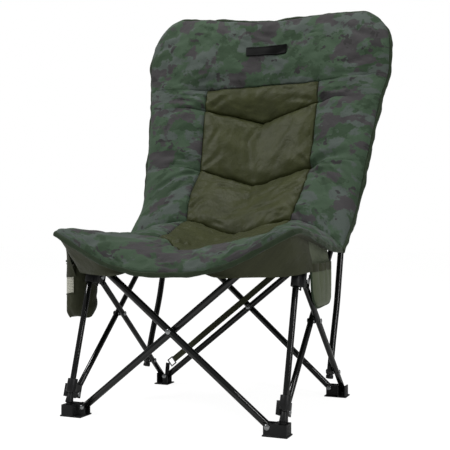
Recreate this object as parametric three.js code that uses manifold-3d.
// A folding carp fishing chair: a steel frame of crossing tubes under one padded cover.
// x runs across the chair, y from its front to its back and z up, all in millimetres.
import * as THREE from 'three';
import { mergeVertices } from 'three/addons/utils/BufferGeometryUtils.js';
import Module from 'manifold-3d';

const wasm = await Module();
wasm.setup();

// Tubes
const cross_tube_r = 8;
const side_tube_r = 6.8;
const tube_wall = 1.2;
const tube_sides = 16;
const bore_sides = 10;
const tube_end = 8;
const cap_t = 2;

// Clearances
const touch_gap = 0.3;
const side_play = 0.5;
const overrun = 2;

// Side of the frame, seen along x
const side_x = 256;
const lean = THREE.MathUtils.degToRad(17.25);
const foot_pin_z = 20;
const rear_pin_z = 22;
const knuckle_at = 32;
const knuckle_offset = 32;
const pin_offset = 25.4;
const crossing_y = 228;
const crossing_z = 212;
const rear_pin_y = 448;
const leg_shift = 8;
const stay_shift = -8.6;

// Back pole
const pole_start = { y: 388, z: 63 };
const pole_low_bend = { y: 416, z: 136 };
const pole_high_bend = { y: 461, z: 235 };
const pole_splay_z = 662;
const pole_top = { y: 652, z: 1000 };
const pole_splay = 44;
const bend_reach = 26;
const bend_steps = 4;

// Front cross tubes
const front_rivet_x = 225.1;
const front_rivet_z = 18.7;
const front_cross_z = 201;
const front_tube_gap = 1.8;
const front_top_run = 298;

// Rear cross tubes
const rear_rivet_x = 230.5;
const rear_rivet_y = 449;
const rear_rivet_z = 19.5;
const rear_cross_rise = 197.8;
const rear_lean = THREE.MathUtils.degToRad(9.8);
const rear_top_run = 608;
const rear_tube_gap = 1.6;
const rear_tube_end = 4;
const leg_top_end = 6.5;
const rear_crossing_play = 1;
const lug_play = 4;

// Rivets
const rivet_r = 2.6;
const rivet_bore_r = 2.9;
const rivet_head_r = 6.2;
const rivet_head_h = 2.2;
const rivet_sides = 10;
const rivet_crown_share = 0.6;
const slot_half_long = 17;
const slot_half_wide = 11;

// Feet
const base_h = 3;
const base_flare = 2;
const foot_top = 26;
const front_box = { inner: 237.5, outer: 267, front: -12, back: 20 };
const stem_r = 6.5;
const stem_pin_r = 3;
const stem_room = { front: -9.5, back: 13 };
const cheek_t = 4;
const cheek_reach = 8;
const rear_box = { front: 434, back: 464, wall: 3.5 };
const lean_play = 2.5;

// Knuckles and hubs
const collar_r = 11.5;
const collar_low = 33;
const collar_high = 63;
const ear_t = 3;
const ear_half = 9;
const ear_high = 52;
const bracket_depth = 16;
const hub_low = 19;
const hub_high = 14;
const rear_hub_half = 24;
const bridge_depth = 8.8;
const rod_r = 5.2;
const rod_run = 165;
const boot_r = 9.5;
const boot_from = 9;
const boot_low = 10;
const plug_run = 60;
const post_from = 31;
const lug_high = -8;
const lug_t = 6;
const rear_collar_r = 12.5;

// Cover
const cover_half = 360;
const cover_depth = 640;
const cover_top = 1044;
const edge_t = 10;
const belly = 6;
const seam_gap = 0.4;
const quarters = 4;
const quarter_columns = 4;
const pillow_power = 4;
const rows_per_span = 3;
const seam_share = 0.3;
const corner = { u: 0.22, w: 0.12 };
const back_sway = 14;
const sway_from = 0.6;
const rim_share = 0.125;
const probe_share = 0.005;
const seat_crown = 16;
const back_crown = 22;
const flap_t = 2;
const flap_low_z = 319;
const flap_gap = 2.4;
const hung_gap = { right: 1.45, left: 0.6 };
const panel_t = 3;
const panel_x = 277;
const panel_u = 0.94;
const pocket_deep = 14;
const pocket_wide = 165;
const pocket_high = 140;
const pocket_front = 112;
const pocket_bottom = 246;
const cup_r = 46;
const cup_flat_share = 0.74;
const cup_low = 212;
const cup_high = 348;
const cup_y = 141;
const cup_base_share = 0.8;
const strap_wide = 17;
const strap_t = 1.6;
const strap_off = 11;
const strap_from = 50;
const strap_to = 520;
const ring_long = 18;
const ring_wire = 3;
const ring_depth = 21;
const strap_step = 2.7;
const tongue_wide = 12;
const sleeve_wall = 2;
const sleeve_play = 0.6;
const sleeve_low_z = 700;
const sleeve_cap = 4;

// Colours and finishes
const finishes = {
  tube: new THREE.MeshStandardMaterial({ color: 0x26272a, roughness: 0.35, metalness: 0.6 }),
  plastic: new THREE.MeshStandardMaterial({ color: 0x151515, roughness: 0.5, metalness: 0 }),
  steel: new THREE.MeshStandardMaterial({ color: 0xc9cacc, roughness: 0.3, metalness: 1 }),
  camouflage: new THREE.MeshStandardMaterial({ color: 0x414c40, roughness: 0.9, metalness: 0 }),
  olive: new THREE.MeshStandardMaterial({ color: 0x3c3f2a, roughness: 0.9, metalness: 0 }),
};

const v = (x, y, z) => new THREE.Vector3(x, y, z);
const root = new THREE.Group();

// Solids: three.js shapes turned into bodies that can be joined and cut
function body(geometry) {
  const bare = geometry.clone();
  bare.deleteAttribute('normal');
  bare.deleteAttribute('uv');
  const merged = mergeVertices(bare);
  return new wasm.Manifold(new wasm.Mesh({
    numProp: 3,
    vertProperties: merged.attributes.position.array,
    triVerts: new Uint32Array(merged.index.array),
  }));
}

function add(name, finish, solid) {
  const mesh = solid.getMesh();
  const geometry = new THREE.BufferGeometry();
  geometry.setAttribute('position', new THREE.BufferAttribute(mesh.vertProperties, 3));
  geometry.setIndex(new THREE.BufferAttribute(mesh.triVerts, 1));
  const part = new THREE.Mesh(geometry, finishes[finish]);
  part.name = name;
  root.add(part);
}

function join(...solids) {
  return solids.reduce((whole, next) => whole.add(next));
}

// Turns the z axis onto the line from one point to another
function along(from, to) {
  const turn = new THREE.Quaternion().setFromUnitVectors(v(0, 0, 1), to.clone().sub(from).normalize());
  return new THREE.Matrix4().compose(from, turn, v(1, 1, 1));
}

function ring(radius, sides) {
  return Array.from({ length: sides }, (_, i) => {
    const angle = (i + 1 / 2) / sides * 2 * Math.PI;
    return new THREE.Vector2(Math.cos(angle) * radius, Math.sin(angle) * radius);
  });
}

function rod(from, to, radius, sides = tube_sides) {
  const shape = new THREE.Shape(ring(radius, sides));
  const geometry = new THREE.ExtrudeGeometry(shape, { depth: from.distanceTo(to), bevelEnabled: false });
  return body(geometry.applyMatrix4(along(from, to)));
}

function tube(from, to, radius) {
  const shape = new THREE.Shape(ring(radius, tube_sides));
  shape.holes.push(new THREE.Path(ring(radius - tube_wall, bore_sides)));
  const geometry = new THREE.ExtrudeGeometry(shape, { depth: from.distanceTo(to), bevelEnabled: false });
  return body(geometry.applyMatrix4(along(from, to)));
}

function block(low, high) {
  const size = high.clone().sub(low);
  const middle = low.clone().add(high).divideScalar(2);
  return body(new THREE.BoxGeometry(size.x, size.y, size.z).translate(middle.x, middle.y, middle.z));
}

function turned(profile, from, to, sides = tube_sides) {
  const points = profile.map(([radius, height]) => new THREE.Vector2(radius, height));
  const geometry = new THREE.LatheGeometry(points, sides).rotateX(Math.PI / 2);
  return body(geometry.applyMatrix4(along(from, to)));
}

// A rivet whose heads stand on both faces of what it holds. Between two tubes it carries a
// shoulder, given as the points where that starts and ends
function rivet(from, to, shoulder = []) {
  const length = from.distanceTo(to);
  const crown = rivet_head_r * rivet_crown_share;
  const heights = shoulder.map((point) => from.distanceTo(point));
  const middle = heights.flatMap((height, i) => (i
    ? [[rivet_head_r, height], [rivet_r, height]]
    : [[rivet_r, height], [rivet_head_r, height]]));
  return turned([
    [0, -rivet_head_h], [crown, -rivet_head_h], [rivet_head_r, 0], [rivet_r, 0], ...middle,
    [rivet_r, length], [rivet_head_r, length], [crown, length + rivet_head_h], [0, length + rivet_head_h],
  ], from, to, rivet_sides);
}

// The largest round plug that clears the flats of a tube's bore
function plug_radius(radius) {
  return (radius - tube_wall) * Math.cos(Math.PI / bore_sides) - touch_gap;
}

function end_cap(tip, into, radius) {
  const inner = plug_radius(radius);
  return turned([
    [0, -cap_t], [radius, -cap_t], [radius, -touch_gap], [inner, -touch_gap],
    [inner, tube_end], [0, tube_end],
  ], tip, into, tube_sides);
}

function bored(solid, centre, axis, reach, radius = rivet_bore_r) {
  const half = axis.clone().multiplyScalar(reach);
  return solid.subtract(rod(centre.clone().sub(half), centre.clone().add(half), radius, rivet_sides));
}

// Where the pins of one side lie, as points of the plane x = 0
const post_dir = v(0, Math.sin(lean), Math.cos(lean));
const post_back = v(0, Math.cos(lean), -Math.sin(lean));
const foot_pin = v(0, 0, foot_pin_z);
const across = v(1, 0, 0);
const knuckle_pin = on_post(knuckle_at, knuckle_offset);
const crossing = v(0, crossing_y, crossing_z);
const rear_pin = v(0, rear_pin_y, rear_pin_z);
const leg_dir = crossing.clone().sub(rear_pin).normalize();
const stay_dir = crossing.clone().sub(knuckle_pin).normalize();
const pole_dir = post_dir;
const pole_at = (z) => v(0, pole_high_bend.y + (z - pole_high_bend.z) * Math.tan(lean), z);
const hub_pin = meet(rear_pin, leg_dir, on_post(0, pin_offset), post_dir);
const hub_at = hub_pin.clone().sub(foot_pin).dot(post_dir);
const pole_front = pole_at(pole_splay_z).sub(post_back.clone().multiplyScalar(pin_offset));
const rear_hub_pin = meet(knuckle_pin, stay_dir, pole_front, pole_dir);
const rear_hub_centre = rear_hub_pin.clone().add(post_back.clone().multiplyScalar(pin_offset));
const pole_foot = v(0, pole_start.y, pole_start.z);
const pole_low = v(0, pole_low_bend.y, pole_low_bend.z);
const pole_pin = meet(rear_pin, leg_dir, pole_foot, pole_low.clone().sub(pole_foot).normalize());

function on_post(run, offset) {
  return v(0, 0, foot_pin_z).addScaledVector(post_dir, run).addScaledVector(post_back, offset);
}

// Where two lines of the plane x = 0 meet
function meet(point, dir, other, other_dir) {
  const gap = other.clone().sub(point);
  const run = (gap.y * other_dir.z - gap.z * other_dir.y) / (dir.y * other_dir.z - dir.z * other_dir.y);
  return point.clone().addScaledVector(dir, run);
}

// The frame that stands on the foot pin and leans with the post: x across, y back, z up the post
function post_frame(x) {
  return new THREE.Matrix4().makeBasis(across, post_back, post_dir).setPosition(x, 0, foot_pin_z);
}

function pole_frame(x) {
  return new THREE.Matrix4().makeBasis(across, post_back, pole_dir)
    .setPosition(x, rear_hub_centre.y, rear_hub_centre.z);
}

function placed(solid, matrix) {
  return solid.transform(matrix.toArray());
}

// The front cross tubes, their rivets and the feet that they stand on
const front_slope = Math.atan2(front_cross_z - front_rivet_z, front_rivet_x);
const front_pitch = 2 * cross_tube_r + front_tube_gap;

function front_cross_tube(name, side, y) {
  const dir = v(-side * Math.cos(front_slope), 0, Math.sin(front_slope));
  const foot_end = v(side * front_rivet_x, y, front_rivet_z);
  const middle = v(0, y, front_cross_z);
  const low = foot_end.clone().addScaledVector(dir, -tube_end);
  const high = middle.clone().addScaledVector(dir, front_top_run);
  const reach = 2 * cross_tube_r;
  const whole = tube(low, high, cross_tube_r);
  add(name, 'tube', bored(bored(whole, foot_end, v(0, 1, 0), reach), middle, v(0, 1, 0), reach));
  add(`${name}_cap`, 'plastic', end_cap(high, low, cross_tube_r));
}

front_cross_tube('front_cross_tube_right', 1, 0);
front_cross_tube('front_cross_tube_left', -1, front_pitch);
const front_faces = [-cross_tube_r - touch_gap, front_pitch + cross_tube_r + touch_gap];
const front_gap_faces = [cross_tube_r + touch_gap, front_pitch - cross_tube_r - touch_gap];
const at_front_cross = (y) => v(0, y, front_cross_z);
add('front_crossing_rivet', 'steel', rivet(
  ...front_faces.map(at_front_cross), front_gap_faces.map(at_front_cross)));

// Two cheeks that hold the lower end of a cross tube
function cheeks(side, rivet_x, y, z, inner, play) {
  const low_x = side * (rivet_x - cheek_reach);
  const gap = cross_tube_r + play;
  return join(...[y - gap - cheek_t, y + gap].map((front) => block(
    v(Math.min(low_x, side * inner), front, base_h / 2),
    v(Math.max(low_x, side * inner), front + cheek_t, z + tube_end),
  )));
}

function foot_base(side, inner, outer, front, back) {
  const xs = [side * inner, side * outer].sort((a, b) => a - b);
  const [left, right] = [xs[0] - base_flare, xs[1] + base_flare];
  const [low, high] = [front - base_flare, back + base_flare];
  const shape = new THREE.Shape([[left, low], [right, low], [right, high], [left, high]]
    .map(([x, y]) => new THREE.Vector2(x, y)));
  return body(new THREE.ExtrudeGeometry(shape, { depth: base_h, bevelEnabled: false }));
}

function front_foot(name, side, tube_y) {
  const gap = cross_tube_r + side_play + cheek_t;
  const front = Math.min(front_box.front, tube_y - gap);
  const back = Math.max(front_box.back, tube_y + gap);
  const pin_x = side * side_x;
  const inner = side * front_box.inner;
  const outer = side * front_box.outer;
  let foot = join(
    foot_base(side, front_rivet_x - cheek_reach, front_box.outer, front, back),
    block(v(Math.min(inner, outer), front, base_h / 2), v(Math.max(inner, outer), back, foot_top)),
    cheeks(side, front_rivet_x, tube_y, front_rivet_z, front_box.inner + overrun, side_play),
  );
  const room = stem_r + side_play;
  foot = foot.subtract(block(
    v(pin_x - room, stem_room.front, foot_pin_z - stem_r * Math.SQRT2 - side_play),
    v(pin_x + room, stem_room.back, foot_top + overrun),
  ));
  const pin_reach = room + base_h;
  const pin_ends = [-pin_reach, pin_reach].map((x) => v(pin_x + x, 0, foot_pin_z));
  foot = foot.add(rod(...pin_ends, stem_pin_r, rivet_sides));
  const rivet_at = v(side * front_rivet_x, tube_y, front_rivet_z);
  foot = bored(foot, rivet_at, v(0, 1, 0), gap + overrun);
  add(name, 'plastic', foot);
  const faces = [-gap - touch_gap, gap + touch_gap].map((y) => rivet_at.clone().add(v(0, y, 0)));
  add(`${name}_rivet`, 'steel', rivet(...faces));
}

front_foot('front_right_foot', 1, 0);
front_foot('front_left_foot', -1, front_pitch);

// The rear cross tubes lie in a plane that leans back from the rear feet
const rear_up = v(0, Math.sin(rear_lean), Math.cos(rear_lean));
const rear_normal = v(0, Math.cos(rear_lean), -Math.sin(rear_lean));
const rear_slope = Math.atan2(rear_cross_rise, rear_rivet_x);
const rear_half_pitch = cross_tube_r + rear_tube_gap / 2;

function rear_point(x, rise, depth) {
  return v(x, rear_rivet_y, rear_rivet_z).addScaledVector(rear_up, rise).addScaledVector(rear_normal, depth);
}

function rear_cross_tube(name, side, depth) {
  const dir = v(-side * Math.cos(rear_slope), 0, 0).addScaledVector(rear_up, Math.sin(rear_slope));
  const foot_end = rear_point(side * rear_rivet_x, 0, depth);
  const top_pin = foot_end.clone().addScaledVector(dir, rear_top_run);
  const middle = rear_point(0, rear_cross_rise, depth);
  const low = foot_end.clone().addScaledVector(dir, -rear_tube_end);
  const high = top_pin.clone().addScaledVector(dir, rear_tube_end);
  let whole = tube(low, high, cross_tube_r);
  for (const centre of [foot_end, top_pin]) {
    whole = bored(whole, centre, rear_normal, 2 * cross_tube_r);
  }
  whole = bored(whole, middle, rear_normal, 2 * cross_tube_r, rivet_bore_r + rear_crossing_play);
  add(name, 'tube', whole);
  const face = rear_normal.clone().multiplyScalar(cross_tube_r + touch_gap);
  add(`${name}_top_rivet`, 'steel', rivet(top_pin.clone().sub(face), top_pin.clone().add(face)));
  return top_pin;
}

const rear_tops = {
  left: rear_cross_tube('rear_cross_tube_right', 1, rear_half_pitch),
  right: rear_cross_tube('rear_cross_tube_left', -1, -rear_half_pitch),
};
const rear_outside = rear_half_pitch + cross_tube_r + touch_gap;
const rear_inside = rear_half_pitch - cross_tube_r - touch_gap;
const at_rear_cross = (depth) => rear_point(0, rear_cross_rise, depth);
add('rear_crossing_rivet', 'steel', rivet(at_rear_cross(-rear_outside), at_rear_cross(rear_outside),
  [at_rear_cross(-rear_inside), at_rear_cross(rear_inside)]));

function rear_foot(name, side, depth) {
  const leg_x = side * side_x + leg_shift;
  const room = side_tube_r + side_play;
  const tube_y = rear_rivet_y + depth;
  const clear = cross_tube_r + lean_play;
  const gap = clear + cheek_t;
  const walls = [leg_x - room - rear_box.wall, leg_x + room];
  const near = side > 0 ? 0 : 1;
  const wall_front = walls.map((x, i) => (i === near && depth < 0 ? tube_y + clear : rear_box.front));
  const near_x = side > 0 ? walls[0] : walls[1] + rear_box.wall;
  const far = Math.max(...walls.map((x) => Math.abs(x + rear_box.wall / 2))) + rear_box.wall / 2;
  const front = Math.min(rear_box.front, tube_y - gap);
  const back = Math.max(rear_box.back, tube_y + gap);
  const pin_reach = room + rear_box.wall / 2;
  let foot = join(
    foot_base(side, rear_rivet_x - cheek_reach, far, front, back),
    ...walls.map((x, i) => block(
      v(x, wall_front[i], base_h / 2), v(x + rear_box.wall, rear_box.back, rear_pin_z + ear_half - overrun))),
    block(v(walls[0] + overrun, rear_box.back - rear_box.wall, base_h / 2),
      v(walls[1] + overrun, rear_box.back, rear_pin_z - side_tube_r)),
    cheeks(side, rear_rivet_x, tube_y, rear_rivet_z, Math.abs(near_x) + side * overrun / 2, lean_play),
    rod(v(leg_x - pin_reach, rear_pin.y, rear_pin.z), v(leg_x + pin_reach, rear_pin.y, rear_pin.z),
      rivet_r, rivet_sides),
  );
  const rivet_at = rear_point(side * rear_rivet_x, 0, depth);
  foot = bored(foot, rivet_at, rear_normal, gap + overrun * 2);
  add(name, 'plastic', foot);
  const face = gap + overrun;
  add(`${name}_rivet`, 'steel', rivet(
    rear_point(side * rear_rivet_x, 0, depth - face), rear_point(side * rear_rivet_x, 0, depth + face)));
}

rear_foot('rear_right_foot', 1, rear_half_pitch);
rear_foot('rear_left_foot', -1, -rear_half_pitch);

// The double-bent pole, as rings set only where it bends
function bent_tube(points, radius) {
  const rings = points.map((point, i) => {
    const before = points[Math.max(i - 1, 0)];
    const after = points[Math.min(i + 1, points.length - 1)];
    const dir = after.clone().sub(before).normalize();
    const side = across.clone().addScaledVector(dir, -across.dot(dir)).normalize();
    const up = dir.clone().cross(side);
    return ring(radius, tube_sides).map(({ x, y }) => (
      point.clone().addScaledVector(side, x).addScaledVector(up, y)));
  });
  const corners = [...rings.flat(), points[0], points[points.length - 1]];
  const faces = [];
  for (let i = 0; i < rings.length - 1; i += 1) {
    for (let j = 0; j < tube_sides; j += 1) {
      const next = (j + 1) % tube_sides;
      const here = i * tube_sides;
      const there = here + tube_sides;
      faces.push(here + j, here + next, there + j, here + next, there + next, there + j);
    }
  }
  const last = (rings.length - 1) * tube_sides;
  for (let j = 0; j < tube_sides; j += 1) {
    const next = (j + 1) % tube_sides;
    faces.push(corners.length - 2, next, j, corners.length - 1, last + j, last + next);
  }
  return closed(corners, faces);
}

function closed(corners, faces) {
  return new wasm.Manifold(new wasm.Mesh({
    numProp: 3,
    vertProperties: new Float32Array(corners.flatMap((corner) => corner.toArray())),
    triVerts: new Uint32Array(faces),
  }));
}

// A bend between two straight runs, as a curve through the corner
function bend(before, corner, after) {
  const start = corner.clone().add(before.clone().sub(corner).setLength(bend_reach));
  const end = corner.clone().add(after.clone().sub(corner).setLength(bend_reach));
  return new THREE.QuadraticBezierCurve3(start, corner, end).getPoints(bend_steps);
}

// One side of the frame. Both sides are alike, so the left one is the right one moved across
function side_frame(side_name, centre_x, rear_top) {
  const leg_x = v(centre_x + leg_shift, 0, 0);
  const stay_x = v(centre_x + stay_shift, 0, 0);
  const stay_in = stay_shift - side_tube_r;
  const stay_out = stay_shift + side_tube_r;
  const leg_in = leg_shift - side_tube_r;
  const leg_out = leg_shift + side_tube_r;
  const frame = post_frame(centre_x);
  const reach = 2 * side_tube_r;
  const inside = plug_radius(side_tube_r);

  // Front post, with its stem below and the rod that slides in it
  const post_low = on_post(post_from, 0).setX(centre_x);
  const post_high = on_post(hub_at - hub_low - touch_gap, 0).setX(centre_x);
  add(`${side_name}_front_post`, 'tube', tube(post_low, post_high, side_tube_r));
  const stem_top = post_from - touch_gap;
  const stem = turned([
    [0, -stem_r], [stem_r, -stem_r], [stem_r, boot_from], [boot_r, boot_low], [side_tube_r, stem_top],
    [inside, stem_top], [inside, plug_run], [0, plug_run],
  ], v(0, 0, 0), v(0, 0, 1));
  const pin_bore = rod(v(-reach, 0, 0), v(reach, 0, 0), stem_pin_r + touch_gap, rivet_sides);
  add(`${side_name}_post_stem`, 'plastic', placed(stem.subtract(pin_bore), frame));

  // Knuckle: a collar on the post, and a bracket behind and below it that holds the stay
  const ears = [stay_in - side_play - ear_t, stay_out + side_play];
  const post_bore = rod(
    v(0, 0, collar_low - overrun), v(0, 0, collar_high + overrun), side_tube_r + touch_gap);
  const boot_room = rod(v(0, 0, 0), v(0, 0, collar_low), boot_r + side_play);
  const ear_low = knuckle_at - ear_half;
  const ear_back = knuckle_offset + ear_half;
  const knuckle = join(
    rod(v(0, 0, collar_low), v(0, 0, collar_high), collar_r),
    block(v(ears[0], 0, ear_low), v(ears[1] + ear_t, bracket_depth, ear_high)),
    ...ears.map((x) => block(v(x, 0, ear_low), v(x + ear_t, ear_back, ear_high))),
  ).subtract(post_bore).subtract(boot_room);
  const knuckle_bore = v(stay_shift, knuckle_offset, knuckle_at);
  add(`${side_name}_knuckle`, 'plastic', placed(bored(knuckle, knuckle_bore, across, reach), frame));
  const knuckle_faces = [ears[0] - touch_gap, ears[1] + ear_t + touch_gap];
  add(`${side_name}_knuckle_rivet`, 'steel', placed(
    rivet(...knuckle_faces.map((x) => v(x, knuckle_offset, knuckle_at))), frame));

  // Front hub, fixed to the rod, with slots in its ears for the rear leg's pin
  const hub_ears = [leg_in - side_play - ear_t, leg_out + side_play];
  const slot = block(v(hub_ears[0] - overrun, pin_offset - slot_half_wide, -slot_half_long),
    v(hub_ears[1] + ear_t + overrun, pin_offset + slot_half_wide, slot_half_long));
  const hub = join(
    rod(v(0, 0, -hub_low), v(0, 0, hub_high), collar_r),
    block(v(hub_ears[0], 0, -hub_low), v(hub_ears[1] + ear_t, bridge_depth, hub_high)),
    ...hub_ears.map((x) => block(
      v(x, 0, -hub_low), v(x + ear_t, pin_offset + slot_half_wide + ear_t, hub_high + ear_t))),
  ).subtract(slot).add(rod(v(0, 0, -rod_run), v(0, 0, 0), rod_r, bore_sides));
  const hub_frame = post_frame(centre_x);
  hub_frame.setPosition(on_post(hub_at, 0).setX(centre_x));
  add(`${side_name}_front_hub`, 'plastic', placed(hub, hub_frame));

  // Rear leg, from the front hub down to the rear foot
  const leg_points = [rear_pin, pole_pin, crossing, hub_pin].map((point) => point.clone().add(leg_x));
  let leg = tube(leg_points[0].clone().addScaledVector(leg_dir, -tube_end),
    leg_points[3].clone().addScaledVector(leg_dir, leg_top_end), side_tube_r);
  for (const point of leg_points) {
    leg = bored(leg, point, across, reach);
  }
  add(`${side_name}_rear_leg`, 'tube', leg);
  const slot_faces = [hub_ears[0] - touch_gap, hub_ears[1] + ear_t + touch_gap];
  const at_hub_pin = (x) => hub_pin.clone().setX(centre_x + x);
  add(`${side_name}_rear_leg_rivet`, 'steel', rivet(...slot_faces.map(at_hub_pin)));

  // Back stay, from the knuckle up to the rear hub
  const stay_points = [knuckle_pin, crossing, rear_hub_pin].map((point) => point.clone().add(stay_x));
  let stay = tube(stay_points[0].clone().addScaledVector(stay_dir, -tube_end),
    stay_points[2].clone().addScaledVector(stay_dir, tube_end), side_tube_r);
  for (const point of stay_points) {
    stay = bored(stay, point, across, reach);
  }
  add(`${side_name}_back_stay`, 'tube', stay);
  const at_crossing = (x) => crossing.clone().setX(centre_x + x);
  const at_rear_hub = (x) => rear_hub_pin.clone().setX(centre_x + x);
  const stay_faces = [stay_in - side_play - ear_t - touch_gap, stay_out + side_play + ear_t + touch_gap];
  add(`${side_name}_crossing_rivet`, 'steel', rivet(
    at_crossing(stay_in - touch_gap), at_crossing(leg_out + touch_gap),
    [at_crossing(stay_out + touch_gap), at_crossing(leg_in - touch_gap)]));
  add(`${side_name}_back_stay_rivet`, 'steel', rivet(...stay_faces.map(at_rear_hub)));

  // Back pole
  const turn_points = [pole_foot, pole_low, v(0, pole_high_bend.y, pole_high_bend.z), pole_at(pole_splay_z),
    v(pole_splay * Math.sign(centre_x), pole_top.y, pole_top.z)].map((point) => point.clone().add(stay_x));
  const pole_path = [
    turn_points[0],
    ...[1, 2, 3].flatMap((i) => bend(turn_points[i - 1], turn_points[i], turn_points[i + 1])),
    turn_points[4],
  ];
  const at_pole_pin = (x) => pole_pin.clone().setX(centre_x + x);
  const pole = bored(bent_tube(pole_path, cross_tube_r), at_pole_pin(stay_shift), across, 2 * cross_tube_r);
  add(`${side_name}_back_pole`, 'tube', pole);
  add(`${side_name}_back_pole_rivet`, 'steel', rivet(
    at_pole_pin(stay_shift - cross_tube_r - touch_gap), at_pole_pin(leg_out + touch_gap),
    [at_pole_pin(stay_shift + cross_tube_r + touch_gap), at_pole_pin(leg_in - touch_gap)]));
  const cap_dir = turn_points[0].clone().sub(turn_points[1]).normalize();
  add(`${side_name}_back_pole_cap`, 'plastic', rod(turn_points[0].clone().addScaledVector(cap_dir, touch_gap),
    turn_points[0].clone().addScaledVector(cap_dir, tube_end), cross_tube_r + tube_wall));

  // Rear hub, which slides on the pole, with slots for the stay's pin
  const half = rear_hub_half;
  const pin_slot = block(v(-reach * 2, -pin_offset - slot_half_wide, -slot_half_long),
    v(reach * 2, -pin_offset + slot_half_wide, slot_half_long));
  const rear_ears = [-side_tube_r - side_play - ear_t, side_tube_r + side_play];
  const to_pole = pole_frame(centre_x + stay_shift);
  const lug_at = rear_top.clone().applyMatrix4(to_pole.clone().invert());
  // The lug stands between the tube's end and the pole's axis
  const lug_way = -Math.sign(lug_at.y);
  const lug_face = lug_at.y + lug_way * (cross_tube_r + rivet_head_h + lug_play);
  const [lug_front, lug_back] = [lug_face, lug_face + lug_way * lug_t].sort((a, b) => a - b);
  const lug_low = Math.min(lug_at.z - ear_half, -half);
  const lug_side = [Math.min(lug_at.x - ear_half, 0), Math.max(lug_at.x + ear_half, 0)];
  const sleeve_bore = rod(v(0, 0, lug_low - overrun), v(0, 0, half + overrun), cross_tube_r + side_play);
  const rear_hub = join(
    rod(v(0, 0, -half), v(0, 0, half), rear_collar_r),
    block(v(rear_ears[0], -bridge_depth, -ear_half), v(rear_ears[1] + ear_t, 0, ear_half)),
    ...rear_ears.map((x) => block(v(x, -pin_offset - slot_half_wide - ear_t, -slot_half_long - ear_t),
      v(x + ear_t, 0, slot_half_long + ear_t))),
    block(v(lug_side[0], lug_front, lug_low), v(lug_side[1], lug_back, lug_high)),
  ).subtract(pin_slot).subtract(sleeve_bore);
  add(`${side_name}_rear_hub`, 'plastic', placed(rear_hub, to_pole));

  // Fabric sleeve that holds the padded back on the pole
  const splay_dir = turn_points[4].clone().sub(turn_points[3]).normalize();
  const sleeve_run = (sleeve_low_z - pole_splay_z) / splay_dir.z;
  const sleeve_from = turn_points[3].clone().addScaledVector(splay_dir, sleeve_run);
  const sleeve_to = turn_points[4].clone().addScaledVector(splay_dir, sleeve_cap);
  const sleeve_in = cross_tube_r + sleeve_play;
  const sleeve = rod(sleeve_from, sleeve_to, sleeve_in + sleeve_wall).subtract(
    rod(sleeve_from.clone().addScaledVector(splay_dir, -overrun),
      turn_points[4].clone().addScaledVector(splay_dir, touch_gap), sleeve_in));
  add(`${side_name}_pole_sleeve`, 'olive', sleeve);
}

side_frame('right', side_x, rear_tops.right);
side_frame('left', -side_x, rear_tops.left);

// The padded cover. Each row gives its height on the centre line, on the edge of the middle panel
// and on the outer edge, as shares of the cover's half width, depth and height
const seat_row_shares = [
  [[0, -0.047, 0.313], [0.344, -0.047, 0.326], [0.786, -0.025, 0.399]],
  [[0, 0.039, 0.337], [0.389, 0.008, 0.355], [0.806, 0.013, 0.401]],
  [[0, 0.156, 0.346], [0.372, 0.312, 0.380], [0.817, 0.203, 0.384]],
  [[0, 0.375, 0.349], [0.389, 0.469, 0.400], [0.825, 0.359, 0.366]],
  [[0, 0.588, 0.392], [0.406, 0.614, 0.425], [0.833, 0.497, 0.360]],
];
const back_row_shares = [
  [[0, 0.588, 0.392], [0.406, 0.614, 0.425], [0.833, 0.497, 0.360]],
  [[0, 0.703, 0.450], [0.444, 0.703, 0.490], [0.848, 0.680, 0.455]],
  [[0, 0.816, 0.521], [0.453, 0.805, 0.567], [0.884, 0.762, 0.567]],
  [[0, 0.934, 0.698], [0.472, 0.887, 0.742], [0.952, 0.875, 0.742]],
  [[0, 0.934, 0.802], [0.469, 0.909, 0.799], [0.992, 0.919, 0.805]],
  [[0, 0.956, 0.898], [0.483, 0.944, 0.900], [1.000, 0.934, 0.886]],
  [[0, 0.961, 0.976], [0.506, 0.984, 0.992], [0.950, 1.000, 0.998]],
];
// Each sewn panel: the rows it lies between, and how full it is
const seat_panels = [{ from: 0, to: 2, full: 0.6 }, { from: 2, to: 4, full: 1 }];
const back_panels = [{ from: 0, to: 2, full: 1 }, { from: 2, to: 3, full: 1 },
  { from: 3, to: 4, full: 0.6 }, { from: 4, to: 6, full: 0.8 }];

// The back's upper corners are round, and it hangs a little higher on its left than on its right
function rounded(u, w) {
  const across_share = (Math.abs(u) - 1 + corner.u) / corner.u;
  const up_share = (w - 1 + corner.w) / corner.w;
  if (across_share <= 0 || up_share <= 0) {
    return [u, w];
  }
  return [
    Math.sign(u) * (1 - corner.u + corner.u * across_share * Math.sqrt(1 - up_share ** 2 / 2)),
    1 - corner.w + corner.w * up_share * Math.sqrt(1 - across_share ** 2 / 2),
  ];
}

function cover_surface(rows) {
  const lines = [0, 1, 2].map((column) => new THREE.CatmullRomCurve3(rows.map((row) => v(
    row[column][0] * cover_half, row[column][1] * cover_depth, row[column][2] * cover_top))));
  return (u, w) => {
    const [centre, seam, edge] = lines.map((line) => line.getPoint(w));
    const flip = (point) => point.clone().multiply(v(-1, 1, 1));
    return new THREE.CatmullRomCurve3([flip(edge), flip(seam), centre, seam, edge]).getPoint((u + 1) / 2);
  };
}

function back_surface(u, w) {
  const sway = back_sway * Math.max(0, (w - sway_from) / (1 - sway_from)) ** 2;
  return plain_back(u, w).add(v(0, 0, -u * sway));
}

function pillow(share) {
  return 1 - (2 * share - 1) ** pillow_power;
}

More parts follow.
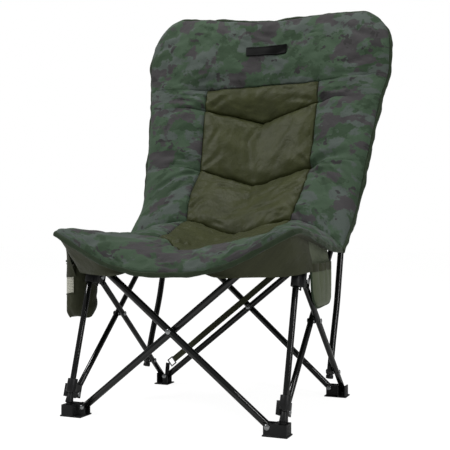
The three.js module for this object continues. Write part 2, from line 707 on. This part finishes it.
// The outward normal and the depth of padding at one place of a surface
function place_on(surface, u, w) {
  const point = surface(u, w);
  const du = surface(Math.min(u + probe_share, 1), w).sub(surface(Math.max(u - probe_share, -1), w));
  const dw = surface(u, Math.min(w + probe_share, 1)).sub(surface(u, Math.max(w - probe_share, 0)));
  const normal = du.cross(dw).normalize();
  const under = point.clone().addScaledVector(normal, -edge_t - belly * pillow((u + 1) / 2) * pillow(w));
  return { point, normal, under, dw };
}

function pad(surface, panels, crown, open_end, outline) {
  const spans = panels[panels.length - 1].to;
  const columns = quarters * quarter_columns;
  const count = spans * rows_per_span;
  const tops = [];
  const unders = [];
  for (let i = 0; i <= count; i += 1) {
    const w = i / count;
    const panel = panels.find((one) => w * spans <= one.to);
    const rise = pillow((w * spans - panel.from) / (panel.to - panel.from)) * panel.full;
    for (let j = 0; j <= columns; j += 1) {
      const u = 2 * j / columns - 1;
      const { point, normal, under, dw } = place_on(surface, ...outline(u, w));
      const back_off = dw.setLength(open_end === w ? seam_gap / 2 : 0).multiplyScalar(open_end ? -1 : 1);
      const panel_share = Math.abs(u) < 1 / 2 ? (u + 1 / 2) : 2 * Math.abs(u) - 1;
      const side_rise = seam_share + (1 - seam_share) * pillow(panel_share);
      const lift = crown * rise * side_rise * Math.min(1, (1 - Math.abs(u)) / rim_share);
      tops.push(point.clone().addScaledVector(normal, lift).add(back_off));
      unders.push(under.add(back_off));
    }
  }
  const corners = [...tops, ...unders];
  const width = columns + 1;
  const below = tops.length;
  const faces = [];
  for (let i = 0; i < count; i += 1) {
    for (let j = 0; j < columns; j += 1) {
      const a = i * width + j;
      const b = a + 1;
      const c = a + width;
      const d = c + 1;
      faces.push(a, b, d, a, d, c, below + a, below + d, below + b, below + a, below + c, below + d);
    }
    const next = (i + 1) * width;
    for (const [one, two] of [[i * width, next], [next + columns, i * width + columns]]) {
      faces.push(one, two, below + one, two, below + two, below + one);
    }
  }
  for (let j = 0; j < columns; j += 1) {
    for (const [one, two] of [[j + 1, j], [count * width + j, count * width + j + 1]]) {
      faces.push(one, two, below + one, two, below + two, below + one);
    }
  }
  return closed(corners, faces);
}

// The pockets sewn into the seat's corners, which the front cross tubes push into
const pocket_room = [1, -1].map((side) => {
  const y = side > 0 ? front_pitch : 0;
  const dir = v(side * Math.cos(front_slope), 0, Math.sin(front_slope));
  const start = at_front_cross(y);
  return rod(start, start.clone().addScaledVector(dir, front_top_run + tube_end / 2),
    cross_tube_r + side_play);
});
const seat_surface = cover_surface(seat_row_shares);
const plain_back = cover_surface(back_row_shares);
const seat = pad(seat_surface, seat_panels, seat_crown, 1, (u, w) => [u, w]);
add('seat_pad', 'camouflage', seat.subtract(pocket_room[0]).subtract(pocket_room[1]));
add('back_pad', 'camouflage', pad(back_surface, back_panels, back_crown, 0, rounded));

// A sheet between two curves, as a closed solid
function sheet(upper, lower, thickness) {
  const columns = upper.length;
  const offset = upper.map((point, i) => {
    const next = upper[Math.min(i + 1, columns - 1)].clone().sub(upper[Math.max(i - 1, 0)]);
    return next.cross(lower[i].clone().sub(point)).setLength(thickness);
  });
  const corners = [
    ...upper, ...lower,
    ...upper.map((point, i) => point.clone().add(offset[i])),
    ...lower.map((point, i) => point.clone().add(offset[i])),
  ];
  const faces = [];
  const [low, top_back, low_back] = [columns, 2 * columns, 3 * columns];
  const quad = (a, b, c, d) => faces.push(a, b, c, a, c, d);
  for (let i = 0; i < columns - 1; i += 1) {
    quad(i + 1, i, low + i, low + i + 1);
    quad(top_back + i + 1, low_back + i + 1, low_back + i, top_back + i);
    quad(i, i + 1, top_back + i + 1, top_back + i);
    quad(low + i + 1, low + i, low_back + i, low_back + i + 1);
  }
  const last = columns - 1;
  quad(low, 0, top_back, low_back);
  quad(last, low + last, low_back + last, top_back + last);
  return closed(corners, faces);
}

// Front flaps: each runs from the seat's front edge, below the tube's pocket, to the front hub.
// Each step along one gives where on the seat it is sewn: across the seat and back from its front
const flap_sewn_shares = [[0.36, 0], [0.4725, 0], [0.585, 0], [0.6975, 0], [0.81, 0], [0.9225, 0],
  [0.96, 0.0375], [0.96, 0.13125], [0.96, 0.225]];
const flap_low_shares = [[0.36, -0.047, 0], [0.53, 0.004, 0], [0.67, 0.075, 0], [0.75, 0.1, 0.004],
  [0.77, 0.12, 0.02]];
function flap(side) {
  const low_line = new THREE.CatmullRomCurve3(flap_low_shares.map(([x, y, z]) => v(
    x * cover_half, y * cover_depth, flap_low_z + z * cover_top)));
  const upper = [];
  const lower = [];
  flap_sewn_shares.forEach(([u, w], i) => {
    upper.push(place_on(seat_surface, u, w).under.add(v(0, 0, -flap_gap)));
    lower.push(low_line.getPoint(i / (flap_sewn_shares.length - 1)));
  });
  const flip = (points) => points.map((point) => point.multiply(v(side, 1, 1)));
  const [top, bottom] = [flip(upper), flip(lower)];
  return side > 0 ? sheet(top, bottom, flap_t) : sheet(top.reverse(), bottom.reverse(), flap_t);
}
add('right_front_flap', 'olive', flap(1));
add('left_front_flap', 'olive', flap(-1));

// A flat panel of a side pocket, given by its outline in y and z and by its two faces in x
function side_panel(outline, from_x, to_x) {
  const shape = new THREE.Shape(outline.map(([y, z]) => new THREE.Vector2(y, z)));
  const geometry = new THREE.ExtrudeGeometry(shape, { depth: to_x - from_x, bevelEnabled: false });
  return body(geometry.rotateX(Math.PI / 2).rotateZ(Math.PI / 2).translate(from_x, 0, 0));
}

// The top edge of a panel that hangs from the seat's side edge, given by how far back it lies
function hung_edge(side, back_shares, gap) {
  return back_shares.map((w) => {
    const { under } = place_on(seat_surface, side * panel_u, w);
    return [under.y, under.z - gap];
  });
}

const pouch_shares = [[0.96, 0.73], [0.96, 0.38], [0.98, 0.04], [0.24, 0], [0.1, 0.3], [0.02, 0.71]];
const room_shares = [[0.93, 1.1], [0.93, 0.38], [0.94, 0.08], [0.27, 0.04], [0.13, 0.3], [0.06, 1.1]];
const in_pouch = ([y, z]) => [pocket_front + y * pocket_wide, pocket_bottom + z * pocket_high];
const pouch = pouch_shares.map(in_pouch);
const hung_right_shares = [0.4, 0.46, 0.53, 0.59, 0.66, 0.72, 0.78];
const hung_right = hung_edge(1, hung_right_shares, hung_gap.right);
const right_pocket = side_panel(pouch, panel_x, panel_x + pocket_deep)
  .add(side_panel([...hung_right, ...pouch], panel_x, panel_x + panel_t))
  .subtract(side_panel(room_shares.map(in_pouch), panel_x + panel_t, panel_x + pocket_deep - panel_t));
add('right_side_pocket', 'olive', right_pocket);

// Bottle pocket: a flattened cup on a tab
const cup_inner = cup_r - flap_t;
const cup_base = cup_r * cup_base_share;
const cup_x = -panel_x - cup_r * cup_flat_share;
const cup_shape = turned([[0, 0], [cup_base, 0], [cup_r, cup_base], [cup_r, cup_high - cup_low],
  [cup_inner, cup_high - cup_low], [cup_inner, cup_base], [cup_base - flap_t, flap_t], [0, flap_t]],
v(0, 0, 0), v(0, 0, 1));
const cup = placed(cup_shape, new THREE.Matrix4().compose(
  v(cup_x, cup_y, cup_low), new THREE.Quaternion(), v(cup_flat_share, 1, 1)));
const hung_left_shares = [0.28, 0.34, 0.4, 0.46, 0.52];
const hung_left = hung_edge(-1, hung_left_shares, hung_gap.left);
const tab = side_panel([...hung_left,
  [cup_y + cup_inner / 2, cup_high - cup_r], [cup_y - cup_inner / 2, cup_high - cup_r]],
-panel_x - panel_t, -panel_x);
add('left_bottle_pocket', 'olive', cup.add(tab));

// Strap along the rear cross tube that stands on the left foot, and the ring that holds it
const strap_dir = v(Math.cos(rear_slope), 0, 0).addScaledVector(rear_up, Math.sin(rear_slope));
const strap_up = v(-Math.sin(rear_slope), 0, 0).addScaledVector(rear_up, Math.cos(rear_slope));
const strap_frame = new THREE.Matrix4().makeBasis(strap_dir, strap_up, rear_normal.clone().negate())
  .setPosition(rear_point(-rear_rivet_x, 0, -ring_depth));
add('rear_strap', 'olive', placed(block(
  v(strap_from, strap_off, strap_step - strap_t / 2),
  v(strap_to, strap_off + strap_wide, strap_step + strap_t / 2)), strap_frame));
const ring_from = strap_from - ring_long - touch_gap;
const ring_frame = new THREE.Matrix4().makeBasis(across, rear_up, rear_normal.clone().negate())
  .setPosition(rear_point(-rear_rivet_x, 0, -ring_depth));
const tongue_rise = Math.sin(rear_lean) * (ring_depth - strap_t / 2);
const tongue_low = (tube_end + touch_gap - tongue_rise) / Math.cos(rear_lean);
const ring_solid = placed(block(v(ring_from, strap_off - ring_wire, -ring_wire / 2),
  v(ring_from + ring_long, strap_off + strap_wide + ring_wire, ring_wire / 2))
  .subtract(block(v(ring_from + ring_wire, strap_off, -ring_wire),
    v(ring_from + ring_long - ring_wire, strap_off + strap_wide, ring_wire))), strap_frame);
const tongue = placed(block(v(0, tongue_low, -strap_t / 2),
  v(tongue_wide, ring_from + strap_off / 2, strap_t / 2)), ring_frame);
add('strap_ring', 'steel', ring_solid.add(tongue));

// Everything stands centred over its own footprint
const box = new THREE.Box3().setFromObject(root);
root.position.set(0, -(box.min.y + box.max.y) / 2, -box.min.z);

export default root;
